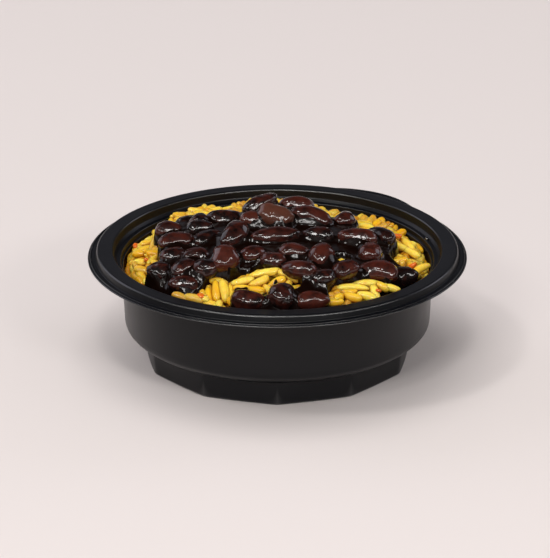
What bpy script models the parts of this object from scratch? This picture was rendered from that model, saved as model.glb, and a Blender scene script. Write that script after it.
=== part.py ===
"""Yellow rice and black beans in a round black take-away bowl.

The bowl is one thin polypropylene moulding: a foot with eleven flats, a rounded
shoulder, two inner ledges, a raised hollow rim and an outer lip that widens into
a pull tab. A mound of rice fills it, and a heap of beans in dark sauce lies on
the rice. Metres, +Z up; the origin is the centre of the underside of the foot.
"""
import math
import random

import bmesh
import bpy
from mathutils import Matrix

# Bowl
RIM_TOP = 0.04775          # height of the flat top of the rim
RIM_INNER = 0.0690         # radius of the inner corner of the rim
RIM_OUTER = 0.0750         # radius of the outer corner of the rim
LIP_RADIUS = 0.0790
LIP_DROP = 0.0028          # from the rim's top down to the lip's top
LIP_THICK = 0.0011
WALL = 0.0009              # thickness of the moulding
LEDGE_RADII = (0.0666, 0.0650)
LEDGE_DROPS = (0.0046, 0.0067)
BODY_TOP_RADIUS = 0.0650   # outside of the wall under the ledges
SHOULDER_RADIUS = 0.0638   # outside of the wall where the shoulder starts
SHOULDER_HEIGHT = 0.0166
SHOULDER_END = (0.0576, 0.0109)
FOOT_SIDES = 11
FOOT_TOP = (0.0564, 0.0100)
FOOT_BASE_RADIUS = 0.0560
FOOT_EDGE = 0.0011         # rounding between the flats and the underside
FLAT_DEPTH = 0.0018        # how far a flat lies inside the circle of the corners
FLAT_RISE = 0.0009         # how far the top of a flat arches above its corners
TAB_ANGLE = math.radians(60.0)
TAB_CENTRE = 0.0470        # distance from the axis to the centre of the tab's arc
TAB_RADIUS = 0.0378

# Food
GAP = 0.0003               # clear space between two pieces that touch
MOUND_TOP = 0.0540         # height of the rice in the middle
MOUND_FALL = 1.40          # fall of the mound for each square metre of r * r
SLUMP_START = 0.0480       # from here the rice slumps towards the wall
SLUMP = 0.0065
RICE_LUMPS = 0.0007        # height of the lumps on the open rice
HEAP_REACH = 0.0485        # usual radius of the bean heap
HEAP_GAP = 0.0012          # clear of the rice's facets between their corners
HEAP_LOBES = (             # angle, extra reach and width of each lobe of the heap
    (-90.0, 0.0130, 15.0),
    (-143.0, 0.0110, 16.0),
    (-38.0, 0.0090, 12.0),
    (88.0, -0.0185, 60.0),
)
BEAN_LENGTH = 0.0130
BEAN_WIDTH = 0.0092
BEAN_RISE = 0.0072         # top of a bean above the rice it lies on
SAUCE_RISE = 0.0038        # top of the sauce between the beans
PEAK = (-0.0030, 0.0180)   # where the beans are piled highest
PEAK_RISE = 0.0040         # how much higher they are there
PEAK_RADIUS = 0.0120
BEAN_ROWS = ((0.0, 1), (0.0120, 5), (0.0235, 9), (0.0350, 13), (0.0460, 17), (0.0570, 21))

BOWL_SEGMENTS = FOOT_SIDES * 6
RICE_SEGMENTS = 55
HEAP_SEGMENTS = 70
HEAP_RINGS = 17
HEAP_UNDER_RINGS = 8
RICE_RINGS = 12
RING_EASE = 0.55           # below 1, rings lie closer together towards the edge


def material(name, colour, roughness):
    """Principled material with one colour, as the real surface looks in plain light."""
    mat = bpy.data.materials.new(name)
    mat.use_nodes = True
    shader = mat.node_tree.nodes["Principled BSDF"]
    shader.inputs["Base Color"].default_value = (*colour, 1.0)
    shader.inputs["Roughness"].default_value = roughness
    shader.inputs["Metallic"].default_value = 0.0
    return mat


def turned(name, profile, segments, mat, collection):
    """Object turned from a profile of (radius, height) that runs down its outer side."""
    line = bpy.data.meshes.new(name + "_profile")
    points = [(radius, 0.0, height) for radius, height in profile]
    edges = [(i, i + 1) for i in range(len(points) - 1)]
    line.from_pydata(points, edges, [])
    guide = bpy.data.objects.new(name + "_profile", line)
    collection.objects.link(guide)
    screw = guide.modifiers.new("Turn", "SCREW")
    screw.axis = "Z"
    screw.steps = segments
    screw.render_steps = segments
    screw.use_merge_vertices = True
    screw.merge_threshold = 0.00001
    mesh = bpy.data.meshes.new_from_object(guide.evaluated_get(bpy.context.evaluated_depsgraph_get()))
    mesh.name = name
    bpy.data.objects.remove(guide)
    bpy.data.meshes.remove(line)
    mesh.transform(Matrix.Rotation(math.radians(-90.0), 4, "Z"))
    mesh.materials.append(mat)
    part = bpy.data.objects.new(name, mesh)
    collection.objects.link(part)
    return part


def reshape(part, move):
    """Move every vertex of a turned object by a rule on its radius, angle and height."""
    shape = bmesh.new()
    shape.from_mesh(part.data)
    for vert in shape.verts:
        radius = math.hypot(vert.co.x, vert.co.y)
        angle = math.atan2(vert.co.y, vert.co.x)
        radius, height = move(radius, angle, vert.co.z)
        vert.co.x = radius * math.cos(angle)
        vert.co.y = radius * math.sin(angle)
        vert.co.z = height
    bmesh.ops.recalc_face_normals(shape, faces=shape.faces)
    shape.to_mesh(part.data)
    shape.free()
    part.data.shade_smooth()
    part.data.set_sharp_from_angle(angle=math.radians(35.0))


def smooth_step(value):
    """Ease from 0 to 1."""
    value = min(max(value, 0.0), 1.0)
    return value * value * (3.0 - 2.0 * value)


def angle_between(first, second):
    """Smallest angle between two directions, in radians."""
    return abs((first - second + math.pi) % math.tau - math.pi)


def round_corner(start, middle, end, steps):
    """Points of a curve from start to end that bends towards middle."""
    points = []
    for step in range(steps + 1):
        t = step / steps
        radius = (1 - t) ** 2 * start[0] + 2 * t * (1 - t) * middle[0] + t * t * end[0]
        height = (1 - t) ** 2 * start[1] + 2 * t * (1 - t) * middle[1] + t * t * end[1]
        points.append((radius, height))
    return points


# ---------------------------------------------------------------- bowl

def inner_wall():
    """Inside of the bowl from the middle of the floor up to the rim's inner corner."""
    ledge_1 = RIM_TOP - LEDGE_DROPS[0]
    ledge_2 = RIM_TOP - LEDGE_DROPS[1]
    return [
        (0.0, WALL),
        (FOOT_BASE_RADIUS - FLAT_DEPTH - 2.2 * WALL, WALL),
        (FOOT_TOP[0] - FLAT_DEPTH - 1.6 * WALL, FOOT_TOP[1]),
        (SHOULDER_END[0] - 0.2 * WALL, SHOULDER_END[1] + 1.6 * WALL),
        (SHOULDER_RADIUS - 1.6 * WALL, SHOULDER_HEIGHT - 0.6 * WALL),
        (BODY_TOP_RADIUS - WALL, ledge_2 - 0.3 * WALL),
        (LEDGE_RADII[1], ledge_2),
        (LEDGE_RADII[1] + 0.3 * WALL, ledge_1 - 0.2 * WALL),
        (LEDGE_RADII[0], ledge_1),
        (RIM_INNER - WALL, RIM_TOP - 1.6 * WALL),
        (RIM_INNER - 0.1 * WALL, RIM_TOP - 0.4 * WALL),
    ]


def rim_and_lip():
    """Flat rim, its sloping outer side, the groove and the lip, then the hollow beneath."""
    lip_top = RIM_TOP - LIP_DROP
    lip_under = lip_top - LIP_THICK
    skirt = RIM_OUTER + 1.2 * WALL
    return [
        (RIM_INNER + 0.8 * WALL, RIM_TOP),
        (RIM_OUTER - 0.2 * WALL, RIM_TOP),
        (RIM_OUTER + 0.7 * WALL, RIM_TOP - 0.9 * WALL),
        (skirt, lip_top + 0.2 * WALL),
        (skirt + 0.5 * WALL, lip_top),
        (LIP_RADIUS - 0.5 * LIP_THICK, lip_top),
        (LIP_RADIUS, lip_top - 0.45 * LIP_THICK),
        (LIP_RADIUS - 0.4 * LIP_THICK, lip_under),
        (skirt - 0.9 * WALL, lip_under),
        (RIM_OUTER - 0.2 * WALL, RIM_TOP - 1.5 * WALL),
        (RIM_OUTER - 1.2 * WALL, RIM_TOP - WALL),
        (RIM_INNER + 1.0 * WALL, RIM_TOP - WALL),
        (LEDGE_RADII[0] + 1.1 * WALL, RIM_TOP - LEDGE_DROPS[0] - 0.8 * WALL),
        (LEDGE_RADII[1] + 1.2 * WALL, RIM_TOP - LEDGE_DROPS[0] - 1.2 * WALL),
        (LEDGE_RADII[1] + 0.9 * WALL, RIM_TOP - LEDGE_DROPS[1] - 0.8 * WALL),
    ]


def outer_wall():
    """Outside of the wall, the rounded shoulder, and the corners of the foot."""
    points = [(BODY_TOP_RADIUS, RIM_TOP - LEDGE_DROPS[1] - 1.3 * WALL)]
    start = (SHOULDER_RADIUS, SHOULDER_HEIGHT)
    points += round_corner(start, (SHOULDER_RADIUS - 0.0003, 0.0135), SHOULDER_END, 4)
    points += [
        FOOT_TOP,
        (FOOT_BASE_RADIUS, FOOT_EDGE),
        (FOOT_BASE_RADIUS - 0.4 * FOOT_EDGE, 0.3 * FOOT_EDGE),
        (FOOT_BASE_RADIUS - FOOT_EDGE, 0.0),
        (0.0, 0.0),
    ]
    return points


def shape_bowl(radius, angle, height):
    """Press the flats into the foot, and draw the lip out into the pull tab."""
    if height < FOOT_TOP[1] + 0.0002 and radius > FOOT_BASE_RADIUS - 1.2 * FOOT_EDGE:
        pitch = math.tau / FOOT_SIDES
        from_corner = (angle + math.pi / 2) % pitch
        across = from_corner / pitch * 2.0 - 1.0
        pressed = 1.0 - across * across
        radius -= FLAT_DEPTH * pressed * (1.0 if height < FOOT_TOP[1] / 2 else 0.6)
        if height > FOOT_TOP[1] / 2:
            height += FLAT_RISE * pressed
    if radius > RIM_OUTER + 2.0 * WALL:
        turn = angle_between(angle, TAB_ANGLE)
        inside = TAB_RADIUS ** 2 - (TAB_CENTRE * math.sin(turn)) ** 2
        if turn < math.pi / 2 and inside > 0.0:
            reach = TAB_CENTRE * math.cos(turn) + math.sqrt(inside)
            radius += max(0.0, reach - LIP_RADIUS)
    return radius, height


def make_bowl(collection):
    """One thin moulding of black polypropylene."""
    plastic = material("black_polypropylene", (0.014, 0.014, 0.016), 0.38)
    profile = inner_wall() + rim_and_lip() + outer_wall()
    bowl = turned("bowl", profile, BOWL_SEGMENTS, plastic, collection)
    reshape(bowl, shape_bowl)
    return bowl


# ---------------------------------------------------------------- rice

def mound(radius):
    """Smooth height of the rice at a distance from the axis."""
    slump = SLUMP * smooth_step((radius - SLUMP_START) / (LEDGE_RADII[1] - SLUMP_START))
    return MOUND_TOP - MOUND_FALL * radius * radius - slump


def heap_reach(angle):
    """Distance from the axis to the edge of the bean heap in a direction."""
    reach = HEAP_REACH + 0.0012 * math.sin(7.0 * angle) + 0.0008 * math.sin(13.0 * angle + 1.0)
    for centre, extra, width in HEAP_LOBES:
        off = angle_between(angle, math.radians(centre)) / math.radians(width)
        reach += extra * math.exp(-off ** 4)
    return reach


def rice_profile():
    """Section of the rice: over the mound, down inside the wall, across the floor."""
    edge = BODY_TOP_RADIUS - WALL - GAP
    radii = [edge * (ring / RICE_RINGS) ** RING_EASE for ring in range(RICE_RINGS + 1)]
    top = [(radius, mound(radius)) for radius in radii]
    inside = inner_wall()
    floor_edge, foot, shoulder, wall_start = inside[1:5]
    return top + [
        (wall_start[0] - GAP, wall_start[1] + GAP),
        (shoulder[0] - GAP, shoulder[1] + 1.5 * GAP),
        (foot[0] - GAP, foot[1] + 2.0 * GAP),
        (floor_edge[0] - GAP, floor_edge[1] + GAP),
        (0.0, WALL + GAP),
    ]


def shape_rice(radius, angle, height):
    """Raise low lumps on the rice where the beans leave it open."""
    if height > mound(radius) - 0.0001 and radius < BODY_TOP_RADIUS - WALL - 2.0 * GAP:
        open_rice = smooth_step((radius - heap_reach(angle) - 0.004) / 0.004)
        lumps = math.sin(radius * 900.0 + 2.0 * math.sin(9.0 * angle)) * math.sin(16.0 * angle)
        height += RICE_LUMPS * (0.4 + lumps) * open_rice
    return radius, height


def make_rice(collection):
    """The whole mound of rice, out to its uneven top."""
    grain = material("yellow_rice", (0.78, 0.46, 0.05), 0.45)
    rice = turned("rice", rice_profile(), RICE_SEGMENTS, grain, collection)
    reshape(rice, shape_rice)
    return rice


# ---------------------------------------------------------------- beans

def lay_beans():
    """Plan of the heap: x, y, direction, length and rise of each bean, ring by ring."""
    chance = random.Random(11)
    beans = []
    for ring_radius, count in BEAN_ROWS:
        for index in range(count):
            angle = math.tau * (index + 0.35 * chance.random()) / count + ring_radius * 60.0
            radius = ring_radius + chance.uniform(-0.0012, 0.0012)
            if radius > heap_reach(angle) - 0.3 * BEAN_LENGTH:
                continue
            direction = angle + math.pi / 2 + chance.uniform(-1.1, 1.1)
            length = BEAN_LENGTH * chance.uniform(0.85, 1.25)
            rise = BEAN_RISE * chance.uniform(0.8, 1.15)
            beans.append((radius * math.cos(angle), radius * math.sin(angle), direction, length, rise))
    return beans


def bean_rise(x, y, beans):
    """Height above the rice of the highest bean over a spot, or of the sauce between."""
    highest = SAUCE_RISE
    for bean_x, bean_y, direction, length, rise in beans:
        along = (x - bean_x) * math.cos(direction) + (y - bean_y) * math.sin(direction)
        across = (y - bean_y) * math.cos(direction) - (x - bean_x) * math.sin(direction)
        spread = (2.0 * along / length) ** 2 + (2.0 * across / BEAN_WIDTH) ** 2
        if spread < 1.0:
            highest = max(highest, rise * (0.45 + 0.55 * math.sqrt(1.0 - spread)))
    return highest


def heap_profile():
    """Section of a round lens of radius 1: its top runs out to the edge, its base back."""
    top = [(ring / HEAP_RINGS, 1.0) for ring in range(HEAP_RINGS)]
    edge = [(1.0, 0.5)]
    shares = [(ring / HEAP_UNDER_RINGS) ** RING_EASE for ring in range(HEAP_UNDER_RINGS, -1, -1)]
    base = [(0.985 * share, 0.0) for share in shares]
    return top + edge + base


def make_beans(collection):
    """The heap of beans in sauce, laid on the rice out to its uneven outline."""
    skin = material("black_beans_in_sauce", (0.030, 0.008, 0.006), 0.18)
    beans = lay_beans()

    def shape_heap(share, angle, level):
        radius = share * heap_reach(angle)
        under = mound(radius) + HEAP_GAP
        if level < 0.25:
            return radius, under
        x = radius * math.cos(angle)
        y = radius * math.sin(angle)
        from_peak = math.hypot(x - PEAK[0], y - PEAK[1])
        piled = PEAK_RISE * math.exp(-(from_peak / PEAK_RADIUS) ** 2)
        rise = bean_rise(x, y, beans) + piled
        if level < 0.75:
            rise = 0.4 * SAUCE_RISE
        return radius, under + rise

    heap = turned("beans", heap_profile(), HEAP_SEGMENTS, skin, collection)
    reshape(heap, shape_heap)
    return heap


def main():
    for old in list(bpy.data.objects):
        bpy.data.objects.remove(old, do_unlink=True)
    collection = bpy.data.collections.new("rice_and_beans_bowl")
    bpy.context.scene.collection.children.link(collection)
    make_bowl(collection)
    make_rice(collection)
    make_beans(collection)


main()
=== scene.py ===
"""Yellow rice and black beans in a round black take-away bowl."""

import math
import random

import bmesh
import bpy
import numpy as np
from mathutils import Euler, Matrix, Vector, noise


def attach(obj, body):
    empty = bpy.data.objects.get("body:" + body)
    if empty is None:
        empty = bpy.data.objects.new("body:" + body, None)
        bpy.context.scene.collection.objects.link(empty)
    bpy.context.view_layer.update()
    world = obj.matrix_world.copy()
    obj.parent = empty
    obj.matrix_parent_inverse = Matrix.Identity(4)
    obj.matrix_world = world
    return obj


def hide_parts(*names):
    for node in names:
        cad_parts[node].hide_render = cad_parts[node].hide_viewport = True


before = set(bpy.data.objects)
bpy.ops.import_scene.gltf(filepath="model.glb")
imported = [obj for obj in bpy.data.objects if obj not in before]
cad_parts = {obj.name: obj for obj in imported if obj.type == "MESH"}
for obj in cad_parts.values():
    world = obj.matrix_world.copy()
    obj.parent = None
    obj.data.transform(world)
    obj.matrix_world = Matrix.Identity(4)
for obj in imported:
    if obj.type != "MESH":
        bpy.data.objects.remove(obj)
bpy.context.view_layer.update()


# ---------------------------------------------------------------- bowl
# A microwave take-away bowl, injection moulded in one piece of black polypropylene about
# 1 mm thick: a foot with eleven flats, a rounded shoulder, two ledges for the lid, a
# raised hollow rim, and a lip that widens into a pull tab. The mould leaves it satin.

MM = 0.001


def srgb(code):
    """Linear colour of an sRGB hex value."""
    shares = [int(code[at:at + 2], 16) / 255.0 for at in (1, 3, 5)]
    linear = [s / 12.92 if s <= 0.04045 else ((s + 0.055) / 1.055) ** 2.4 for s in shares]
    return (*linear, 1.0)


def add_node(tree, kind, settings, sockets):
    """Add one node, with its settings and what each socket holds or is linked to."""
    made = tree.nodes.new(kind)
    for name, value in settings.items():
        setattr(made, name, value)
    for socket, value in sockets.items():
        if isinstance(value, bpy.types.NodeSocket):
            tree.links.new(value, made.inputs[socket])
        else:
            made.inputs[socket].default_value = value
    return made


def start_material(name, sockets):
    """A new material whose shader has these constant values."""
    made = bpy.data.materials.new(name)
    made.use_nodes = True
    shader = made.node_tree.nodes["Principled BSDF"]
    for socket, value in sockets.items():
        shader.inputs[socket].default_value = value
    return made, made.node_tree, shader


def finish_piece(name, shape, material, slot, *nodes):
    """Turn a bmesh into an object that rides on the bowl and stands for its CAD nodes."""
    mesh = bpy.data.meshes.new(name)
    shape.to_mesh(mesh)
    shape.free()
    mesh.materials.append(material)
    mesh.shade_smooth()
    made = bpy.data.objects.new(name, mesh)
    bpy.context.scene.collection.objects.link(made)
    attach(made, "root")
    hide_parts(*nodes)
    return made


def turn_profile(corners, steps):
    """Turn a section of (radius, height, rounding), in millimetres, about the upright axis."""
    shape = bmesh.new()
    line = [shape.verts.new((radius * MM, 0.0, height * MM)) for radius, height, _ in corners]
    for first, second in zip(line, line[1:]):
        shape.edges.new((first, second))
    for vert, (_, _, rounding) in zip(line, corners):
        if rounding > 0.0:
            bmesh.ops.bevel(shape, geom=[vert], offset=rounding * MM, affect="VERTICES",
                            segments=4, profile=0.5, material=-1)
    bmesh.ops.spin(shape, geom=shape.verts[:] + shape.edges[:], cent=(0, 0, 0), axis=(0, 0, 1),
                   angle=math.tau, steps=steps, use_merge=True)
    bmesh.ops.remove_doubles(shape, verts=shape.verts, dist=0.001 * MM)
    bmesh.ops.recalc_face_normals(shape, faces=shape.faces)
    return shape


# The bowl's section, from the middle of its floor up to the rim and down its outside:
# radius, height and rounding in millimetres.
BOWL_SECTION = [
    (0.0, 0.9, 0), (52.2, 0.9, 1.2), (53.2, 10.0, 0.8),
    (57.4, 12.3, 0.8), (60.0, 13.6, 1.0), (61.6, 15.2, 0.9), (62.4, 17.2, 0.8),
    (64.1, 41.05, 0.30), (65.0, 41.05, 0.20), (65.25, 43.15, 0.25), (66.9, 43.15, 0.30),
    (68.1, 44.3, 0.35), (68.5, 47.75, 0.80), (75.1, 47.75, 0.90), (75.9, 44.75, 0.30),
    (77.5, 44.65, 0.20), (77.7, 44.95, 0.20), (78.1, 44.95, 0.20), (78.25, 44.4, 0.08),
    (79.0, 44.4, 0.36), (79.0, 43.85, 0.12), (75.1, 43.85, 0.20), (74.2, 46.85, 0.40),
    (69.9, 46.85, 0.50), (69.2, 43.8, 0.30), (67.8, 42.25, 0.30), (66.2, 42.25, 0.20),
    (65.9, 40.1, 0.30), (65.0, 39.9, 0.15), (63.8, 16.6, 1.0), (63.3, 15.08, 0.75),
    (62.1, 13.63, 0.85), (60.2, 12.23, 1.0), (57.6, 10.9, 0.35), (56.4, 10.0, 0.25),
    (56.0, 0.0, 1.0), (0.0, 0.0, 0),
]
LIP_RADIUS = 79.0 * MM
LIP_INSIDE = 77.0 * MM
FOOT_SIDES = 11
FOOT_TOP = 10.4 * MM
FOOT_INSIDE = 54.0 * MM
FOOT_MIDDLE = 5.0 * MM
FLAT_DEPTH = 1.8 * MM
FLAT_DEPTH_AT_TOP = 0.6
FLAT_RISE = 0.9 * MM
CORNER_GROOVE = 0.06
CORNER_GROOVE_WIDTH = 0.07
TAB_ANGLE = math.radians(60.0)
TAB_CENTRE = 47.0 * MM
TAB_RADIUS = 37.8 * MM


def press_flats(vert):
    """Press the flats of the foot in between its corners."""
    radius = math.hypot(vert.co.x, vert.co.y)
    if vert.co.z > FOOT_TOP or radius < FOOT_INSIDE:
        return
    share = (math.atan2(vert.co.y, vert.co.x) + math.pi / 2) % (math.tau / FOOT_SIDES)
    across = abs(share / (math.tau / FOOT_SIDES) * 2.0 - 1.0)
    groove = CORNER_GROOVE * math.exp(-((1.0 - across) / CORNER_GROOVE_WIDTH) ** 2)
    pressed = 1.0 - across ** 2 + groove
    inward = FLAT_DEPTH * pressed * (1.0 if vert.co.z < FOOT_MIDDLE else FLAT_DEPTH_AT_TOP)
    vert.co.x -= vert.co.x / radius * inward
    vert.co.y -= vert.co.y / radius * inward
    if vert.co.z > FOOT_MIDDLE:
        vert.co.z += FLAT_RISE * pressed


def draw_out_tab(vert):
    """Draw the lip out into the pull tab."""
    radius = math.hypot(vert.co.x, vert.co.y)
    turn = math.atan2(vert.co.y, vert.co.x) - TAB_ANGLE
    if radius < LIP_INSIDE or math.cos(turn) < 0.0:
        return
    inside = TAB_RADIUS ** 2 - (TAB_CENTRE * math.sin(turn)) ** 2
    if inside > 0.0:
        reach = TAB_CENTRE * math.cos(turn) + math.sqrt(inside)
        extra = max(0.0, reach - LIP_RADIUS)
        vert.co.x += vert.co.x / radius * extra
        vert.co.y += vert.co.y / radius * extra


bowl_shape = turn_profile(BOWL_SECTION, FOOT_SIDES * 32)
for bowl_vert in bowl_shape.verts:
    press_flats(bowl_vert)
    draw_out_tab(bowl_vert)

# Two small catches on the upper ledge hold the lid.
CATCH_ANGLES = (18.0, 198.0)
CATCH_RADIUS = 66.2 * MM
CATCH_HEIGHT = 43.4 * MM
CATCH_HALF_SIZE = (0.8 * MM, 1.1 * MM, 0.9 * MM)
for catch_angle in CATCH_ANGLES:
    catch_place = (Matrix.Rotation(math.radians(catch_angle), 4, "Z")
                   @ Matrix.Translation((CATCH_RADIUS, 0.0, CATCH_HEIGHT)))
    catch = bmesh.ops.create_uvsphere(bowl_shape, u_segments=12, v_segments=8, radius=1.0)
    bmesh.ops.scale(bowl_shape, vec=CATCH_HALF_SIZE, verts=catch["verts"])
    bmesh.ops.transform(bowl_shape, matrix=catch_place, verts=catch["verts"])

# Satin moulded polypropylene: near black, with a soft broad gloss that the fine mould
# grain breaks up, and smoother edges. The real grain is finer, so it is drawn 0.35 mm
# wide to show at all.
polypropylene, tree, shader = start_material("satin_black_polypropylene", {
    "Base Color": srgb("#090a0e"), "Roughness": 0.34, "IOR": 1.49, "Specular IOR Level": 0.25,
    "Coat Roughness": 0.28, "Coat IOR": 2.0})
place = add_node(tree, "ShaderNodeTexCoord", {}, {})
grain = add_node(tree, "ShaderNodeTexNoise", {}, {
    "Vector": place.outputs["Object"], "Scale": 1.0 / (0.35 * MM), "Detail": 2.0})
handling = add_node(tree, "ShaderNodeTexNoise", {}, {
    "Vector": place.outputs["Object"], "Scale": 1.0 / (22.0 * MM), "Detail": 3.0})
gloss = add_node(tree, "ShaderNodeMapRange", {}, {
    "Value": handling.outputs["Fac"], "From Min": 0.35, "From Max": 0.65,
    "To Min": 0.30, "To Max": 0.38})
tree.links.new(gloss.outputs["Result"], shader.inputs["Roughness"])
form = add_node(tree, "ShaderNodeNewGeometry", {}, {})
polished = add_node(tree, "ShaderNodeMapRange", {}, {
    "Value": form.outputs["Pointiness"], "From Min": 0.51, "From Max": 0.55,
    "To Min": 0.0, "To Max": 1.0})
tree.links.new(polished.outputs["Result"], shader.inputs["Coat Weight"])
relief = add_node(tree, "ShaderNodeBump", {}, {
    "Height": grain.outputs["Fac"], "Strength": 0.12, "Distance": 0.05 * MM})
tree.links.new(relief.outputs["Normal"], shader.inputs["Normal"])

bowl = finish_piece("bowl_shell", bowl_shape, polypropylene, "bowl_plastic", "bowl")
flatten = bowl.modifiers.new("Even shading", "WEIGHTED_NORMAL")
flatten.keep_sharp = False
flatten.weight = 60


# ---------------------------------------------------------------- rice
# Long-grain rice cooked yellow with spice, packed to a flat mound that slumps at the wall.
# The mound below is one body with a lumpy face, and loose grains, about 9 mm long and
# 4 mm thick, lie half sunk in it wherever the beans leave it open.

MOUND_TOP = 54.0 * MM
MOUND_CURVE = 1.40
SLUMP_DEPTH = 6.5 * MM
SLUMP_START = 0.048
SLUMP_WIDTH = 0.017
WALL_INSIDE = 63.7 * MM

# How the beans that show lie on the rice, in millimetres and degrees: x, y, lift of the
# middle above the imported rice, direction, rise along it, length, width, tone.
BEANS = [
    (-7, 13, 8.2, 32, 0.26, 17, 9, 0.35), (8, 21, 5.0, -5, 0.0, 15, 9, 0.9),
    (-1, 2, 7.0, -24, -0.12, 16, 11.5, 1.55), (-10, 2, 5.0, 10, 0.05, 12, 9.5, 1.1),
    (14, 6, 5.0, -12, -0.16, 18.5, 10.5, 0.6), (28, 10, 3.0, 70, 0.0, 11, 9, 0.5),
    (-22, 12, 2.6, 6, 0.0, 16, 9.5, 0.3), (-18, -14, 5.4, 62, 0.25, 16.5, 10.5, 0.35),
    (-29, -12, 3.4, 45, 0.0, 15.5, 9, 0.15), (-1, -14, 4.2, 5, 0.0, 21, 9.5, 0.45),
    (17, -12, 4.2, -10, 0.0, 13, 9, 0.1), (33, -13, 4.4, -8, 0.0, 17, 10.5, 0.7),
    (43, -8, 4.0, -45, 0.0, 14, 10, 0.15), (38, -26, 4.2, 75, 0.1, 12, 10.5, 0.7),
    (41, -37, 3.8, -5, 0.0, 17, 11.5, 0.8), (52, -31, 3.4, 30, 0.0, 12.5, 10, 0.05),
    (28, -42, 4.0, 40, 0.0, 13, 9.5, 0.5), (18, -33, 4.6, 60, 0.15, 13, 11, 0.75),
    (7, -30, 4.2, -8, 0.0, 13.5, 9.5, 0.65), (9, -44, 3.8, -12, 0.0, 15, 9.5, 0.7),
    (-10, -31, 3.8, 25, 0.0, 12, 9.5, 0.6), (-2, -36, 3.6, -15, 0.0, 11.5, 9, 0.5),
    (-45, 4, 2.4, 10, 0.0, 12, 9.5, 0.5), (-42, -14, 4.0, 15, 0.0, 15.5, 10.5, 0.5),
    (-32, 0, 3.4, 10, 0.0, 12, 8.5, 0.1), (-33, 8, 3.4, 60, 0.0, 10, 8.5, 0.1),
    (-37, 15, 0.6, 20, 0.0, 11, 7.5, 0.1), (-48, -32, 3.6, -30, 0.0, 12, 10.5, 0.1),
    (-43, -25, 3.2, 30, 0.0, 11.5, 9, 0.2), (-33, -29, 3.4, -15, 0.0, 12.5, 9, 0.3),
    (-38, -38, 4.4, 35, 0.1, 12, 10, 0.3), (-29, -40, 3.6, -20, 0.0, 12, 9.5, 0.3),
    (-38, -44, 3.4, -10, 0.0, 13, 9.5, 0.45), (-12, -58, 3.0, -20, 0.0, 14.5, 10, 0.4),
    (2, -58, 3.8, 80, 0.1, 13, 12.5, 0.2), (14, -58, 3.0, 8, 0.0, 14, 10, 0.75),
    (-22, -37, 5.4, 80, 0.35, 14, 12, 1.05), (19, -47, 2.6, 20, 0.0, 12, 9, 0.15),
]
# Spots inside the heap where the rice shows: x, y, reach.
RICE_WINDOWS = [(-14, -46, 5.0), (-5, -43.5, 6.0), (5, -49, 4.0), (-7, -50, 4.5), (26.5, -28, 3.0),
                (26, -51, 4.5), (32, -50, 6.0), (40, -47, 5.0), (-24, -49, 6.0)]
# Spots where the rice has slumped, or with a minus stands higher: x, y, reach, depth.
RICE_DIPS = [(30, 40, 11, 4.0), (52, 24, 8, 2.0), (60, 6, 8, 1.5), (14, 48, 9, 2.0),
             (-48, 28, 9, 3.0), (51, -7, 6, 1.5), (34, -48, 9, -2.4), (-36, -50, 6, -2.0),
             (59, -21, 5, -2.5), (-4, -42, 6, -1.0), (-16, 45, 8, 2.5), (-43, 30, 6, -3.0)]
# The grains that show best, listed in millimetres and degrees: x, y, lift above the
# packed rice, direction, rise along it, length, width, paleness.
SHOWN_GRAINS = [
    (-21.5, -48.5, -1.0, -75, -0.75, 11.5, 4.4, 0.6), (-24.8, -47.5, -1.0, -84, -0.75, 11.0, 4.2, 0.2),
    (-28.0, -48.0, -1.6, -80, -0.60, 9.0, 4.0, 0.1), (-18.6, -49.0, -2.2, -83, -0.65, 9.0, 3.8, 0.4),
    (-34.0, -50.5, 2.0, -9, -0.20, 8.5, 3.9, 1.0), (-39.5, -49.5, 3.6, -14, -0.30, 7.0, 3.6, 0.9),
    (-24.0, -43.0, -1.0, -11, -0.15, 8.5, 3.8, 0.5), (-31.0, -46.5, -0.8, -50, -0.40, 8.5, 3.8, 0.3),
    (-5.0, -42.0, 1.3, 9, 0.15, 13.5, 4.1, 1.0), (-14.0, -45.5, -0.4, 8, 0.20, 10.0, 4.0, 0.9),
    (-7.5, -46.5, -0.5, 10, 0.40, 9.5, 4.2, 0.7), (5.5, -44.0, 0.5, -12, -0.42, 12.0, 4.0, 1.0),
    (-0.5, -40.5, 0.6, -5, 0.00, 12.0, 3.9, 0.8), (-0.5, -47.0, -0.3, 17, 0.50, 9.0, 4.0, 0.3),
    (-14.0, -49.0, -1.0, 2, -0.10, 8.5, 3.8, 0.3), (-9.0, -50.0, -1.4, -20, 0.10, 9.0, 3.8, 0.1),
    (30.5, -46.5, 1.5, 4, -0.05, 14.0, 3.6, 0.9), (35.5, -43.8, 2.6, 0, 0.05, 11.0, 3.6, 1.0),
    (39.5, -46.5, 3.0, -69, -0.65, 8.5, 4.2, 1.0), (36.5, -49.5, 2.8, -5, -0.30, 9.0, 4.0, 0.9),
    (25.0, -51.5, 0.2, 70, -0.20, 8.0, 4.2, 0.2), (30.5, -50.5, 1.3, -18, -0.15, 8.5, 4.0, 0.3),
    (42.0, -43.5, 4.4, -25, -0.35, 8.0, 3.8, 0.5), (46.0, -43.0, 4.6, -8, -0.25, 9.0, 3.6, 1.0),
    (22.5, -54.5, 0.6, 9, 0.00, 9.0, 3.8, 0.2), (28.0, -48.0, -0.2, -12, 0.05, 9.5, 3.8, 0.2),
    (50.5, -11.0, -2.6, -28, -0.20, 13.0, 4.0, 0.6), (50.0, -1.5, -1.8, -29, -0.05, 9.5, 4.0, 0.7),
    (54.5, 3.0, 0.0, -53, -0.30, 10.0, 4.0, 0.6), (58.5, -20.5, 3.3, 51, 0.10, 13.0, 3.6, 0.5),
    (55.5, -5.0, 0.4, -47, -0.10, 10.0, 4.0, 0.8), (54.0, -14.5, -1.4, -40, -0.15, 10.0, 3.8, 0.3),
]


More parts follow.
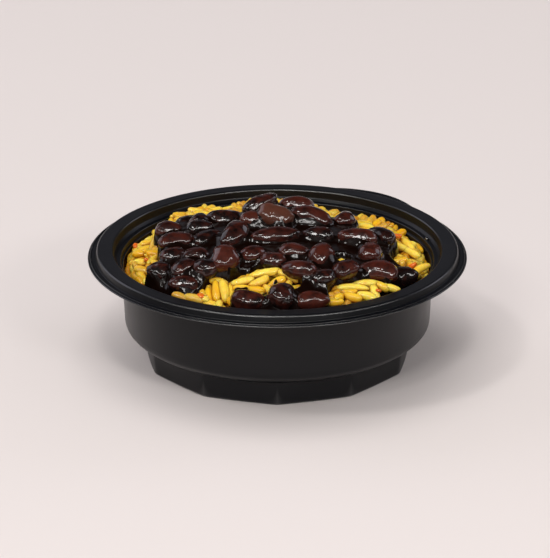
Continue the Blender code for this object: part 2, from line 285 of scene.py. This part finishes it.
def ease(value):
    """Ease from 0 to 1."""
    value = np.clip(value, 0.0, 1.0)
    return value * value * (3.0 - 2.0 * value)


def mound(radius):
    """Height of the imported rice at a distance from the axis."""
    return MOUND_TOP - MOUND_CURVE * radius ** 2 - SLUMP_DEPTH * ease((radius - SLUMP_START) / SLUMP_WIDTH)


# Maps of small cells over the bowl: how far the beans cover the rice, and below it the
# height of everything that has been laid in the bowl so far.
CELL = 0.5 * MM
MAP_REACH = 69.0 * MM
cell_places = np.linspace(-MAP_REACH, MAP_REACH, round(2 * MAP_REACH / CELL) + 1)
map_x, map_y = np.meshgrid(cell_places, cell_places, indexing="ij")
map_radius = np.hypot(map_x, map_y)
map_mound = mound(map_radius)


def cell_of(place):
    """Nearest cell of the map to a distance along one of its sides."""
    return np.clip(np.rint((np.asarray(place) + MAP_REACH) / CELL).astype(int), 0, len(cell_places) - 1)


def rolled(heights, reach, dome):
    """Highest point that a ball, or with dome 0 a flat disc, finds around each cell."""
    cells = int(reach / CELL)
    best = np.full(heights.shape, -1.0)
    for row in range(-cells, cells + 1):
        for column in range(-cells, cells + 1):
            away = math.hypot(row, column) * CELL
            if away <= reach:
                rise = dome * math.sqrt(reach ** 2 - away ** 2)
                np.maximum(best, np.roll(heights, (row, column), (0, 1)) + rise, out=best)
    return best


BRIDGED = 6.5 * MM
away_from_beans = np.min([np.hypot(map_x - bean[0] * MM, map_y - bean[1] * MM)
                          - 0.24 * (bean[5] + bean[6]) * MM for bean in BEANS], axis=0)
away_from_beans = rolled(-rolled(-away_from_beans, BRIDGED, 0), BRIDGED, 0)
map_cover = ease((2.8 * MM - away_from_beans) / (2.4 * MM))
for window_x, window_y, window_reach in RICE_WINDOWS:
    from_window = np.hypot(map_x - window_x * MM, map_y - window_y * MM)
    map_cover *= ease((from_window - window_reach * MM + 0.5 * MM) / (2.2 * MM))
map_cover *= ease((WALL_INSIDE - 0.4 * MM - map_radius) / (1.0 * MM))


def covered(x, y):
    """How far the beans cover a spot: 1 inside the heap, 0 on the open rice."""
    return float(map_cover[cell_of(x), cell_of(y)])


core_section = [(radius, 50.0, 0) for radius in range(0, 64)]
core_section += [(63.5, 35.0, 0), (62.9, 27.0, 0), (62.0, 17.6, 0.6), (57.2, 13.2, 0.6),
                 (52.7, 10.6, 0.3), (51.8, 1.3, 0.5), (0.0, 1.3, 0)]
core_shape = turn_profile(core_section, 200)
OPEN_CORE = 6.0 * MM
for core_vert in core_shape.verts:
    if core_vert.co.z > 49.0 * MM:
        x, y, _ = core_vert.co
        core_vert.co.z = mound(math.hypot(x, y)) - 0.3 * MM - OPEN_CORE * (1.0 - covered(x, y))
        core_vert.co.z += 0.8 * MM * noise.noise(Vector((x, y, 0.0)) * 260.0)

# The bowl's wall, ledges and rim, as the food inside meets them.
WALL_RADII = [0.0637, 0.0638, 0.0650, 0.0652, 0.0666, 0.0684, 0.0700]
WALL_HEIGHTS = [0.0, 0.0410, 0.0410, 0.0431, 0.0431, 0.0474, 0.0478]
map_wall = np.interp(map_radius, WALL_RADII, WALL_HEIGHTS)
level = np.maximum(map_mound - 0.3 * MM - OPEN_CORE * (1.0 - map_cover), map_wall)


def imprint(x, y, yaw, half, blunt, height, slope):
    """Raise the map to the top of a piece that has come to rest."""
    reach = max(half[0], half[1]) + CELL
    rows = slice(cell_of(x - reach), cell_of(x + reach) + 1)
    columns = slice(cell_of(y - reach), cell_of(y + reach) + 1)
    from_x = map_x[rows, columns] - x
    from_y = map_y[rows, columns] - y
    flat = math.cos(math.atan(slope))
    along = (from_x * math.cos(yaw) + from_y * math.sin(yaw)) / (half[0] * flat)
    across = (from_y * math.cos(yaw) - from_x * math.sin(yaw)) / half[1]
    inside = 1.0 - abs(along) ** blunt - across ** 2
    top = height + along * half[0] * flat * slope + half[2] / flat * np.sqrt(np.clip(inside, 0.0, None))
    patch = level[rows, columns]
    level[rows, columns] = np.where(inside > 0.0, np.maximum(patch, top), patch)


# After those listed, grains are pressed one by one into the lowest spots of the open
# rice. Neighbours point much the same way, each with one end up, and form small clumps.
chance = random.Random(4)
grains = []
for x, y, lift, degrees, rise, length, width, pale in SHOWN_GRAINS:
    half = (length / 2 * MM, width / 2 * MM, 0.46 * width * MM)
    height = mound(math.hypot(x, y) * MM) + lift * MM
    imprint(x * MM, y * MM, math.radians(degrees), half, 4.0, height, rise)
    grains.append((x * MM, y * MM, height, math.radians(degrees), rise, half, pale))


def lump(x, y):
    """Uneven height of the open rice, from -1 to 1."""
    return noise.noise(Vector((x * 120.0, y * 120.0, 0.3)))


LUMP_HEIGHT = 2.2 * MM
EDGE_DROP = 1.5 * MM
lumps = np.vectorize(lump)(map_x, map_y)
edge_drop = EDGE_DROP * ease((map_radius - 0.057) / 0.006)
rice_target = map_mound + LUMP_HEIGHT * lumps - 0.9 * MM - edge_drop
for dip_x, dip_y, dip_reach, dip_depth in RICE_DIPS:
    from_dip = np.hypot(map_x - dip_x * MM, map_y - dip_y * MM)
    rice_target -= dip_depth * MM * np.exp(-(from_dip / (dip_reach * MM)) ** 2)
MOST_GRAINS = 1250
LAID_AT_A_TIME = 10
rice_region = (map_cover < 0.7) & (map_radius < WALL_INSIDE - 1.6 * MM)
while len(grains) < MOST_GRAINS:
    low = np.flatnonzero(rice_region & (level < rice_target - 1.5 * MM))
    if len(low) < 30:
        break
    for _ in range(LAID_AT_A_TIME):
        spot = low[chance.randrange(len(low))]
        x, y = float(map_x.flat[spot]), float(map_y.flat[spot])
        half = (chance.uniform(3.8, 5.6) * MM, chance.uniform(1.8, 2.2) * MM,
                chance.uniform(1.65, 2.0) * MM)
        yaw = 5.0 * noise.noise(Vector((x * 80.0, y * 80.0, 5.0))) + chance.gauss(0.0, 0.45)
        slope = 1.6 * noise.noise(Vector((x * 90.0, y * 90.0, 9.0))) + chance.gauss(0.0, 0.35)
        slope = min(max(slope, -1.0), 1.0)
        reach = half[0] * math.cos(math.atan(slope))
        ends = [math.hypot(x + side * reach * math.cos(yaw), y + side * reach * math.sin(yaw))
                for side in (-1.0, 1.0)]
        if max(ends) > WALL_INSIDE - half[1]:
            yaw = math.atan2(y, x) + math.pi / 2
            slope *= 0.4
        height = float(rice_target.flat[spot]) - 1.1 * MM - 0.55 * abs(slope) * reach
        height += chance.uniform(-0.3, 0.5) * MM
        imprint(x, y, yaw, half, 4.0, height, slope)
        grains.append((x, y, height, yaw, slope, half, chance.random()))


def join_copies(shapes):
    """Join many small shapes into one bmesh, in order."""
    whole = bmesh.new()
    for shape in shapes:
        carrier = bpy.data.meshes.new("carrier")
        shape.to_mesh(carrier)
        shape.free()
        whole.from_mesh(carrier)
        bpy.data.meshes.remove(carrier)
    return whole


def place_matrix(x, y, height, yaw, slope, roll):
    """Where a piece lies: turned to its direction, tipped to its slope and rolled over."""
    turned = Matrix.Rotation(yaw, 4, "Z") @ Matrix.Rotation(-math.atan(slope), 4, "Y")
    return Matrix.Translation((x, y, height)) @ turned @ Matrix.Rotation(roll, 4, "X")


def grain_shape(x, y, height, yaw, slope, half):
    """One cooked grain: a blunt, slightly bent spindle."""
    shape = bmesh.new()
    lying = Matrix.Rotation(math.pi / 2, 4, "Y")
    bmesh.ops.create_uvsphere(shape, u_segments=8, v_segments=8, radius=1.0, matrix=lying)
    bend = chance.uniform(-0.5, 0.5)
    taper = chance.uniform(-0.22, 0.22)
    for vert in shape.verts:
        along, side, up = vert.co
        girth = math.hypot(side, up)
        if girth > 0.01:
            fuller = girth ** -0.28 * (1.0 + taper * along) * chance.uniform(0.92, 1.05)
            side *= fuller
            up *= fuller
        vert.co = Vector((along * half[0], side * half[1] + bend * along ** 2 * half[1], up * half[2]))
    shape.transform(place_matrix(x, y, height, yaw, slope, chance.uniform(-0.8, 0.8)))
    return shape


grains_shape = join_copies([grain_shape(*laid[:6]) for laid in grains])

# Cooked rice, yellow with annatto: moist, slightly glossy and translucent. The tone of
# each grain, and the sauce it has soaked up together with painted shade, come from its own attribute.
rice_yellow, tree, shader = start_material("cooked_yellow_rice", {
    "Roughness": 0.35, "IOR": 1.45, "Specular IOR Level": 0.25, "Subsurface Weight": 0.45,
    "Subsurface Radius": (1.0, 0.7, 0.15), "Subsurface Scale": 1.5 * MM,
    "Coat Weight": 0.4, "Coat Roughness": 0.12, "Coat IOR": 1.36})
place = add_node(tree, "ShaderNodeTexCoord", {}, {})
tone = add_node(tree, "ShaderNodeAttribute", {"attribute_name": "grain_tone"}, {})
channels = add_node(tree, "ShaderNodeSeparateColor", {}, {"Color": tone.outputs["Color"]})
streaks = add_node(tree, "ShaderNodeTexNoise", {}, {
    "Vector": place.outputs["Object"], "Scale": 1.0 / (2.2 * MM), "Detail": 3.0})
plain = add_node(tree, "ShaderNodeMix", {"data_type": "RGBA"}, {
    "Factor": channels.outputs["Red"], 6: srgb("#efb70f"), 7: srgb("#fee862")})
flushed = add_node(tree, "ShaderNodeMapRange", {}, {
    "Value": streaks.outputs["Fac"], "From Min": 0.45, "From Max": 0.75, "To Min": 0.0, "To Max": 0.6})
warm = add_node(tree, "ShaderNodeMix", {"data_type": "RGBA"}, {
    "Factor": flushed.outputs["Result"], 6: plain.outputs[2], 7: srgb("#f7b214")})
# Painted shade: where grains touch and hide one another, an occlusion test turns them dark amber as if in
# shade. Each grain's second tone, sauce soak with painted shade, turns it the same amber.
occlusion = add_node(tree, "ShaderNodeAmbientOcclusion", {"samples": 6}, {"Distance": 2.5 * MM})
crevice_shade = add_node(tree, "ShaderNodeMapRange", {}, {
    "Value": occlusion.outputs["AO"], "From Min": 0.25, "From Max": 0.85, "To Min": 0.95, "To Max": 0.0})
steeped_and_shaded = add_node(tree, "ShaderNodeMath", {"operation": "MAXIMUM"}, {
    0: channels.outputs["Green"], 1: crevice_shade.outputs["Result"]})
soaked_and_shaded = add_node(tree, "ShaderNodeMix", {"data_type": "RGBA"}, {
    "Factor": steeped_and_shaded.outputs["Value"], 6: warm.outputs[2], 7: srgb("#a65c0a")})
tree.links.new(soaked_and_shaded.outputs[2], shader.inputs["Base Color"])
skin_relief = add_node(tree, "ShaderNodeBump", {}, {
    "Height": streaks.outputs["Fac"], "Strength": 0.4, "Distance": 0.3 * MM})
tree.links.new(skin_relief.outputs["Normal"], shader.inputs["Normal"])


def set_tones(piece, name, tones):
    """Give each of the joined copies its own tone, as an attribute of its points."""
    points = len(piece.data.vertices) // len(tones)
    colours = np.repeat(np.array(tones, dtype=np.float32), points, axis=0)
    attribute = piece.data.attributes.new(name, "FLOAT_COLOR", "POINT")
    attribute.data.foreach_set("color", colours.ravel())


# Each grain's second tone mixes sauce stain, near the beans and at random, with painted shade for grains
# that lie deep among the others. Grains by the wall on the left are turned darker amber too.
grain_tones = []
for x, y, height, _, _, _, pale in grains:
    depth = (float(rice_target[cell_of(x), cell_of(y)]) - 1.0 * MM - height) / (2.6 * MM)
    soak_and_shade = 0.7 * ease(depth) + 0.4 * covered(x, y) * chance.random() + 0.12 * chance.random()
    soak_and_shade += 0.6 * ease((math.hypot(x, y) - 0.058) / 0.005) * ease(x / -0.03)
    grain_tones.append((pale, min(soak_and_shade, 1.0), 0.0, 1.0))

rice_grains = finish_piece("rice_grains", grains_shape, rice_yellow, "rice_grain", "rice")
set_tones(rice_grains, "grain_tone", grain_tones)
rice_core = finish_piece("rice_mound", core_shape, rice_yellow, "rice_grain", "rice")
# The packed rice below shows only in the gaps between the grains. It is turned nearly all dark amber:
# painted shade for those gaps.
set_tones(rice_core, "grain_tone", [(0.2, 0.9, 0.0, 1.0)])


# ---------------------------------------------------------------- beans
# Black turtle beans, cooked soft in their own dark sauce: kidney shaped, most of them 12 to
# 16 mm long, with a thin glossy skin from purple black to brown. They are ladled onto the
# rice in a heap one or two beans deep.

BEAN_BLUNT = 2.6
beans = []
for x, y, lift, degrees, rise, length, width, tone in BEANS:
    half = (length / 2 * MM, width / 2 * MM, 0.43 * width * MM)
    height = mound(math.hypot(x, y) * MM) + lift * MM
    imprint(x * MM, y * MM, math.radians(degrees), half, BEAN_BLUNT, height, rise)
    beans.append((x * MM, y * MM, height, math.radians(degrees), rise, half, tone))


def settle(x, y, yaw, half, blunt, steepest):
    """Let one piece down until it rests on what lies there. Gives its height and its slope."""
    along, across = np.meshgrid(np.linspace(-0.92, 0.92, 11), np.linspace(-0.8, 0.8, 5), indexing="ij")
    under = half[2] * np.sqrt(np.clip(1.0 - abs(along) ** blunt - across ** 2, 0.0, None))
    spot_x = x + along * half[0] * math.cos(yaw) - across * half[1] * math.sin(yaw)
    spot_y = y + along * half[0] * math.sin(yaw) + across * half[1] * math.cos(yaw)
    need = level[cell_of(spot_x), cell_of(spot_y)] + under
    slopes = np.linspace(-steepest, steepest, 17)
    heights = (need[..., None] - along[..., None] * half[0] * slopes).max(axis=(0, 1))
    best = int(heights.argmin())
    return float(heights[best]), float(slopes[best])


# More beans sink into the hollows that are left in the heap.
MOST_BEANS = 80
SINK = 2.2 * MM
heap_target = map_mound + 3.0 * MM
failed = np.zeros(level.shape, dtype=int)
while len(beans) < MOST_BEANS:
    low = np.flatnonzero((map_cover > 0.9) & (level < heap_target - 1.6 * MM) & (failed < 3))
    if len(low) < 40:
        break
    spot = low[chance.randrange(len(low))]
    x, y = float(map_x.flat[spot]), float(map_y.flat[spot])
    width = chance.uniform(8.5, 10.0)
    half = (chance.uniform(6.0, 7.6) * MM, width / 2 * MM, 0.42 * width * MM)
    yaw = chance.uniform(0.0, math.pi)
    height, slope = settle(x, y, yaw, half, BEAN_BLUNT, 0.7)
    height -= SINK
    ends = [covered(x + side * half[0] * math.cos(yaw), y + side * half[0] * math.sin(yaw))
            for side in (-1, 1)]
    if height + half[2] > heap_target.flat[spot] + 1.3 * MM or min(ends) < 0.8:
        failed.flat[spot] += 1
        continue
    imprint(x, y, yaw, half, BEAN_BLUNT, height, slope)
    beans.append((x, y, height, yaw, slope, half, chance.uniform(0.0, 0.6)))


def bean_shape(x, y, height, yaw, slope, half, tone):
    """One bean: a kidney, fuller on its outer side, with a dented and wrinkled skin."""
    shape = bmesh.new()
    lying = Matrix.Rotation(math.pi / 2, 4, "Y")
    bmesh.ops.create_uvsphere(shape, u_segments=36, v_segments=24, radius=1.0, matrix=lying)
    bend = chance.uniform(0.06, 0.20) * chance.choice((-1.0, 1.0))
    taper = chance.uniform(-0.14, 0.14)
    wrinkled = chance.uniform(0.0, 1.0)
    seed = Vector((chance.uniform(0, 50), chance.uniform(0, 50), chance.uniform(0, 50)))
    for vert in shape.verts:
        ball = vert.co.copy()
        along, side, up = vert.co
        girth = math.hypot(side, up)
        if girth > 0.01:
            fuller = girth ** -0.13 * (1.0 + taper * along)
            side *= fuller
            up *= fuller
        hollow = math.exp(-(along / 0.45) ** 2) * max(0.0, -side * math.copysign(1.0, bend))
        side += math.copysign(0.14 * hollow, bend)
        swell = 1.0 + 0.08 * noise.noise(ball * 1.3 + seed) + 0.035 * noise.noise(ball * 3.2 + seed)
        swell -= 0.05 * wrinkled * max(0.0, 0.35 - abs(noise.noise(ball * 2.4 + seed))) ** 2 / 0.12
        curved = side - bend * (along ** 2 - 0.35)
        vert.co = Vector((along * half[0], curved * half[1], up * half[2])) * swell
    shape.transform(place_matrix(x, y, height, yaw, slope, chance.uniform(-0.45, 0.45)))
    return shape


beans_shape = join_copies([bean_shape(*laid) for laid in beans])

# Cooked bean skin under a film of sauce: dark maroon, wet, with small sharp lights where
# the wrinkles catch them and a soft grey sheen towards the upper edges.
bean_skin, tree, shader = start_material("cooked_black_bean_skin", {
    "Roughness": 0.45, "IOR": 1.42, "Specular IOR Level": 0.12, "Subsurface Weight": 0.06,
    "Subsurface Radius": (1.0, 0.2, 0.12), "Subsurface Scale": 1.2 * MM,
    "Coat Weight": 1.0, "Coat Roughness": 0.08, "Coat IOR": 1.45})
place = add_node(tree, "ShaderNodeTexCoord", {}, {})
tone = add_node(tree, "ShaderNodeAttribute", {"attribute_name": "bean_tone"}, {})
channels = add_node(tree, "ShaderNodeSeparateColor", {}, {"Color": tone.outputs["Color"]})
mottle = add_node(tree, "ShaderNodeTexNoise", {}, {
    "Vector": place.outputs["Object"], "Scale": 1.0 / (3.5 * MM), "Detail": 4.0, "Roughness": 0.6})
patchy = add_node(tree, "ShaderNodeMapRange", {}, {
    "Value": mottle.outputs["Fac"], "From Min": 0.33, "From Max": 0.67, "To Min": -0.5, "To Max": 0.5})
redness = add_node(tree, "ShaderNodeMath", {"operation": "ADD", "use_clamp": True}, {
    0: channels.outputs["Red"], 1: patchy.outputs["Result"]})
dark_skin = add_node(tree, "ShaderNodeMix", {"data_type": "RGBA"}, {
    "Factor": redness.outputs["Value"], 6: srgb("#120706"), 7: srgb("#461b12")})
skin = add_node(tree, "ShaderNodeMix", {"data_type": "RGBA"}, {
    "Factor": channels.outputs["Green"], 6: dark_skin.outputs[2], 7: srgb("#5a382a")})
tree.links.new(skin.outputs[2], shader.inputs["Base Color"])
wrinkles = add_node(tree, "ShaderNodeTexNoise", {}, {
    "Vector": place.outputs["Object"], "Scale": 1.0 / (4.0 * MM), "Detail": 2.5, "Distortion": 1.0})
skin_relief = add_node(tree, "ShaderNodeBump", {}, {
    "Height": wrinkles.outputs["Fac"], "Strength": channels.outputs["Blue"], "Distance": 0.5 * MM})
tree.links.new(skin_relief.outputs["Normal"], shader.inputs["Normal"])
tree.links.new(skin_relief.outputs["Normal"], shader.inputs["Coat Normal"])

# A bean's tone holds its redness, how split and pale it is, and how wrinkled.
bean_tones = [(min(laid[6], 1.0), max(0.0, laid[6] - 1.0), chance.uniform(0.10, 0.45), 1.0)
              for laid in beans]
bean_heap = finish_piece("bean_heap", beans_shape, bean_skin, "bean_skin", "beans")
set_tones(bean_heap, "bean_tone", bean_tones)


# ---------------------------------------------------------------- sauce
# The thick dark cooking sauce. It clings in the gaps between the beans, where a ball of
# 3.4 mm radius rolled over them doesn't reach, stands between the lowest ones, and thins
# out over the rice at the heap's edge.

CLING = 3.4 * MM
CLING_DROP = 1.2 * MM
SAUCE_DEPTH = 2.9 * MM
clinging = -rolled(-rolled(level, CLING, 1), CLING, 1) - CLING_DROP
clinging = np.maximum(clinging, map_mound + SAUCE_DEPTH)
rice_top = map_mound - 1.6 * MM
for shift in (1, 2, 1):
    clinging = (np.roll(clinging, shift, 0) + np.roll(clinging, -shift, 0) +
                np.roll(clinging, shift, 1) + np.roll(clinging, -shift, 1) + 2.0 * clinging) / 6.0
thinning = ease((map_cover - 0.25) / 0.6)
sauce_top = rice_top + (clinging - rice_top) * thinning - 2.0 * MM * (1.0 - map_cover)

SAUCE_REACH = 66.0 * MM
sauce_cells = int(2 * SAUCE_REACH / CELL)
sauce_shape = bmesh.new()
bmesh.ops.create_grid(sauce_shape, x_segments=sauce_cells, y_segments=sauce_cells, size=SAUCE_REACH)
bare = []
for face in sauce_shape.faces:
    middle = face.calc_center_median()
    if covered(middle.x, middle.y) < 0.03:
        bare.append(face)
bmesh.ops.delete(sauce_shape, geom=bare, context="FACES")
for vert in sauce_shape.verts:
    vert.co.z = mound(math.hypot(vert.co.x, vert.co.y)) - 5.0 * MM
raised = bmesh.ops.extrude_face_region(sauce_shape, geom=sauce_shape.faces[:], use_keep_orig=True)
for vert in raised["geom"]:
    if isinstance(vert, bmesh.types.BMVert):
        x, y, under = vert.co
        ripple = 0.12 * MM * noise.noise(Vector((x, y, 0.0)) * 450.0)
        vert.co.z = max(float(sauce_top[cell_of(x), cell_of(y)]) + ripple, under + 0.3 * MM)
bmesh.ops.recalc_face_normals(sauce_shape, faces=sauce_shape.faces)

# Bean sauce: nearly black, a little browner in soft clouds, with a wet, slightly broken gloss.
bean_sauce, tree, shader = start_material("dark_bean_sauce", {
    "Base Color": srgb("#1c0e08"), "Roughness": 0.3, "IOR": 1.38, "Specular IOR Level": 0.1,
    "Coat Weight": 0.7, "Coat Roughness": 0.08, "Coat IOR": 1.36})
place = add_node(tree, "ShaderNodeTexCoord", {}, {})
cloud = add_node(tree, "ShaderNodeTexNoise", {}, {
    "Vector": place.outputs["Object"], "Scale": 1.0 / (5.0 * MM), "Detail": 4.0})
thin = add_node(tree, "ShaderNodeMix", {"data_type": "RGBA"}, {
    "Factor": cloud.outputs["Fac"], 6: srgb("#040201"), 7: srgb("#170804")})
tree.links.new(thin.outputs[2], shader.inputs["Base Color"])
ripples = add_node(tree, "ShaderNodeTexNoise", {}, {
    "Vector": place.outputs["Object"], "Scale": 1.0 / (2.4 * MM), "Detail": 2.0})
wet_relief = add_node(tree, "ShaderNodeBump", {}, {
    "Height": ripples.outputs["Fac"], "Strength": 0.2, "Distance": 0.5 * MM})
tree.links.new(wet_relief.outputs["Normal"], shader.inputs["Normal"])
tree.links.new(wet_relief.outputs["Normal"], shader.inputs["Coat Normal"])
finish_piece("bean_sauce", sauce_shape, bean_sauce, "bean_skin", "beans")


# ---------------------------------------------------------------- pepper
# A few bits of red pepper, diced to 2 to 4 mm, that were cooked with the rice until soft
# and have sunk a little into it.

# Where the bits lie, in millimetres: x, y, width.
PEPPER_BITS = [(-59, 10, 3.0), (-31, -50, 3.2), (50, 4, 3.2), (56, -17, 3.6), (41, -47, 2.4),
               (-54, -15, 2.6), (-24, 47, 1.8), (30, 44, 1.8), (-42, 42, 1.8)]
PEPPER_SINK = 1.5 * MM
pepper_bits = []
for x, y, width in PEPPER_BITS:
    bit = bmesh.new()
    bmesh.ops.create_cube(bit, size=width * MM)
    bmesh.ops.bevel(bit, geom=bit.edges[:], offset=0.36 * width * MM, affect="EDGES",
                    segments=2, profile=0.5, material=-1)
    half = (width / 2 * MM, width / 2 * MM, width / 3 * MM)
    height, _ = settle(x * MM, y * MM, 0.0, half, 2.0, 0.3)
    for vert in bit.verts:
        vert.co.z *= 0.6
        vert.co *= 1.0 + 0.4 * noise.noise(vert.co * 700.0 + Vector((x, y, 0)))
    tumbled = Euler((chance.uniform(-0.5, 0.5), chance.uniform(-0.5, 0.5), chance.uniform(0, 3)))
    turn = tumbled.to_matrix().to_4x4()
    bit.transform(Matrix.Translation((x * MM, y * MM, height - PEPPER_SINK)) @ turn)
    pepper_bits.append(bit)

# Cooked red pepper: soft, wet and slightly translucent.
red_pepper, _, _ = start_material("cooked_red_pepper", {
    "Base Color": srgb("#e0701a"), "Roughness": 0.3, "IOR": 1.4, "Subsurface Weight": 0.4,
    "Subsurface Radius": (1.0, 0.4, 0.15), "Subsurface Scale": 0.6 * MM, "Coat Weight": 0.5})
finish_piece("pepper_bits", join_copies(pepper_bits), red_pepper, "rice_grain", "rice")


# ---------------------------------------------------------------- setting
# A plain pale table, soft light from above, the sides and the back, small lamps and long
# bars for the thin lights on the wet food and along the lip, and the camera.

table_shape = bmesh.new()
bmesh.ops.create_grid(table_shape, x_segments=1, y_segments=1, size=6.0)
table_mesh = bpy.data.meshes.new("table")
table_shape.to_mesh(table_mesh)
table_shape.free()
pale_table, _, _ = start_material("matt_pale_table", {
    "Base Color": srgb("#e0d8d6"), "Roughness": 0.8, "IOR": 1.45})
table_mesh.materials.append(pale_table)
table = bpy.data.objects.new("table", table_mesh)
bpy.context.scene.collection.objects.link(table)


def add_lamp(name, place, size, power, tint, mirrored=True, lights=True):
    """A soft lamp that points at the food. It may light only, or show in the gloss only."""
    lamp = bpy.data.lights.new(name, "AREA")
    lamp.shape = "RECTANGLE"
    lamp.size, lamp.size_y = size
    lamp.energy = power
    lamp.color = tint
    made = bpy.data.objects.new(name, lamp)
    bpy.context.scene.collection.objects.link(made)
    made.visible_glossy = mirrored
    made.visible_diffuse = lights
    made.location = place
    to_food = FOOD_MIDDLE - Vector(place)
    made.rotation_euler = to_food.to_track_quat("-Z", "Y").to_euler()


FOOD_MIDDLE = Vector((0.0, 0.0, 0.05))
WARM_WHITE = (1.0, 0.98, 0.96)
COOL_WHITE = (0.90, 0.89, 1.0)
add_lamp("window", (-1.7, 1.2, 1.1), (1.6, 1.6), 9.0, COOL_WHITE)
add_lamp("strip", (1.7, 1.0, 0.9), (0.9, 0.9), 4.5, COOL_WHITE)
add_lamp("backdrop", (0.0, 3.0, 1.25), (2.0, 2.0), 1.7, COOL_WHITE)
add_lamp("ceiling", (-0.4, 0.0, 3.4), (2.6, 2.6), 44.0, WARM_WHITE, mirrored=False)
add_lamp("key_left", (-2.2, -1.3, 3.8), (0.55, 0.55), 28.0, WARM_WHITE)
add_lamp("key_front", (-0.3, -2.4, 3.9), (0.55, 0.55), 22.0, WARM_WHITE)
add_lamp("front_left", (-0.55, -1.4, 0.95), (0.5, 0.2), 7.0, WARM_WHITE)
add_lamp("front_right", (0.75, -1.2, 0.8), (0.4, 0.18), 5.0, WARM_WHITE)
add_lamp("front_bar", (0.0, -2.6, 2.1), (3.2, 0.22), 50.0, WARM_WHITE, lights=False)
add_lamp("left_bar", (-2.7, -1.5, 1.9), (2.6, 0.2), 26.0, WARM_WHITE, lights=False)
add_lamp("right_bar", (2.7, -1.5, 1.9), (2.6, 0.2), 26.0, WARM_WHITE, lights=False)

# The room's even light fills the shadows and doesn't show in the gloss.
world = bpy.data.worlds.new("studio")
bpy.context.scene.world = world
world.use_nodes = True
world.node_tree.nodes["Background"].inputs["Color"].default_value = (1.0, 0.97, 0.95, 1.0)
world.node_tree.nodes["Background"].inputs["Strength"].default_value = 0.32
world.cycles_visibility.glossy = False
bpy.context.scene.view_settings.view_transform = "Standard"

camera_data = bpy.data.cameras.new("camera")
camera_data.sensor_width = 36.0
camera_data.lens = 285.5
camera = bpy.data.objects.new("camera", camera_data)
bpy.context.scene.collection.objects.link(camera)
camera.location = (-0.00097, -1.7166, 0.7207)
camera.rotation_euler = (math.radians(68.18), 0.0, 0.0)
bpy.context.scene.camera = camera
